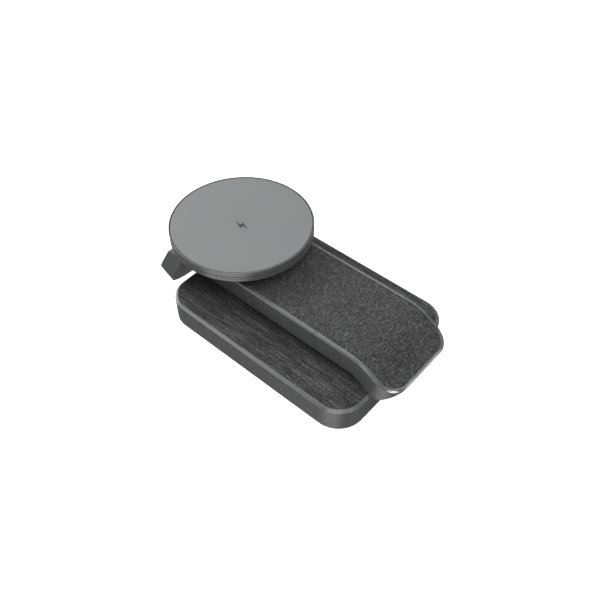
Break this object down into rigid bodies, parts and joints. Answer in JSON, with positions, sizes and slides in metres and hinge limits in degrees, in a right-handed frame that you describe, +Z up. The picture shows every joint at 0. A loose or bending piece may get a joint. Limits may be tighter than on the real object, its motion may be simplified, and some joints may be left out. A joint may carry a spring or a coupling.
{
  "type": "folding wireless charging pad",
  "caption": "Fold-flat wireless charger: a fabric-topped base with a hinged arm that carries a tilting magnetic phone disc and a small slanted shelf.",
  "frame": {"origin": "middle of the base's underside, on the surface that it stands on", "axes": "+X along the base to its hinged front end, +Y across, +Z up"},
  "size_m": [0.1245, 0.0706, 0.0366],
  "materials": {
    "shell": "fine satin, moulded",
    "disc_shell": "satin, moulded",
    "cover": "matte, moulded",
    "fabric": "woven melange, dark grey",
    "face": "soft matte",
    "mark": "printed, matte",
    "silicone": "matte",
    "steel": "stamped",
    "pin_steel": "ground",
    "screw_steel": "zinc plated",
    "socket_steel": "plated",
    "spine": "rolled",
    "copper": "enamelled wire",
    "ferrite": "matt",
    "magnet": "nickel plated",
    "board": "solder mask",
    "chip": "moulded",
    "capacitor": "matt",
    "ribbon": "polyimide film"
  },
  "bodies": {
    "base": {"base_housing": "shell", "base_fabric": "fabric", "base_cover": "cover", "base_mat": "silicone", "base_cover_screws": "screw_steel", "ballast_plate": "steel", "base_circuit_board": "board", "board_chips": "chip", "board_capacitors": "capacitor", "usb_c_socket": "socket_steel", "base_ferrite": "ferrite", "base_coil": "copper", "base_hinge_bracket": "steel", "base_bracket_screws": "screw_steel"},
    "arm": {"arm_top_shell": "shell", "arm_fabric": "fabric", "arm_bottom_cover": "cover", "arm_cover_screws": "screw_steel", "arm_hinge_bracket": "steel", "arm_bracket_screws": "screw_steel", "arm_spine": "spine", "spine_screws": "screw_steel", "arm_ribbon_cable": "ribbon", "shelf_housing": "shell", "shelf_panel": "cover", "shelf_ferrite": "ferrite", "shelf_coil": "copper", "tilt_pin": "pin_steel", "fold_pin": "pin_steel", "fold_pin_clip": "steel", "fold_washers": "steel"},
    "disc": {"disc_housing": "disc_shell", "disc_upper_ring": "disc_shell", "disc_face": "face", "bolt_mark": "mark", "disc_magnets": "magnet", "disc_ferrite": "ferrite", "disc_coil": "copper", "disc_hinge_bracket": "steel", "disc_bracket_screws": "screw_steel"}
  },
  "joints": [
    {"name": "arm_fold", "type": "hinge", "parent": "base", "child": "arm", "pos_m": [0.05, 0, 0.016], "axis": [0, 1, 0], "range_deg": [0, 60]},
    {"name": "disc_tilt", "type": "hinge", "parent": "arm", "child": "disc", "pos_m": [-0.0486, 0, 0.0291], "axis": [0, -1, 0], "range_deg": [0, 40]}
  ]
}
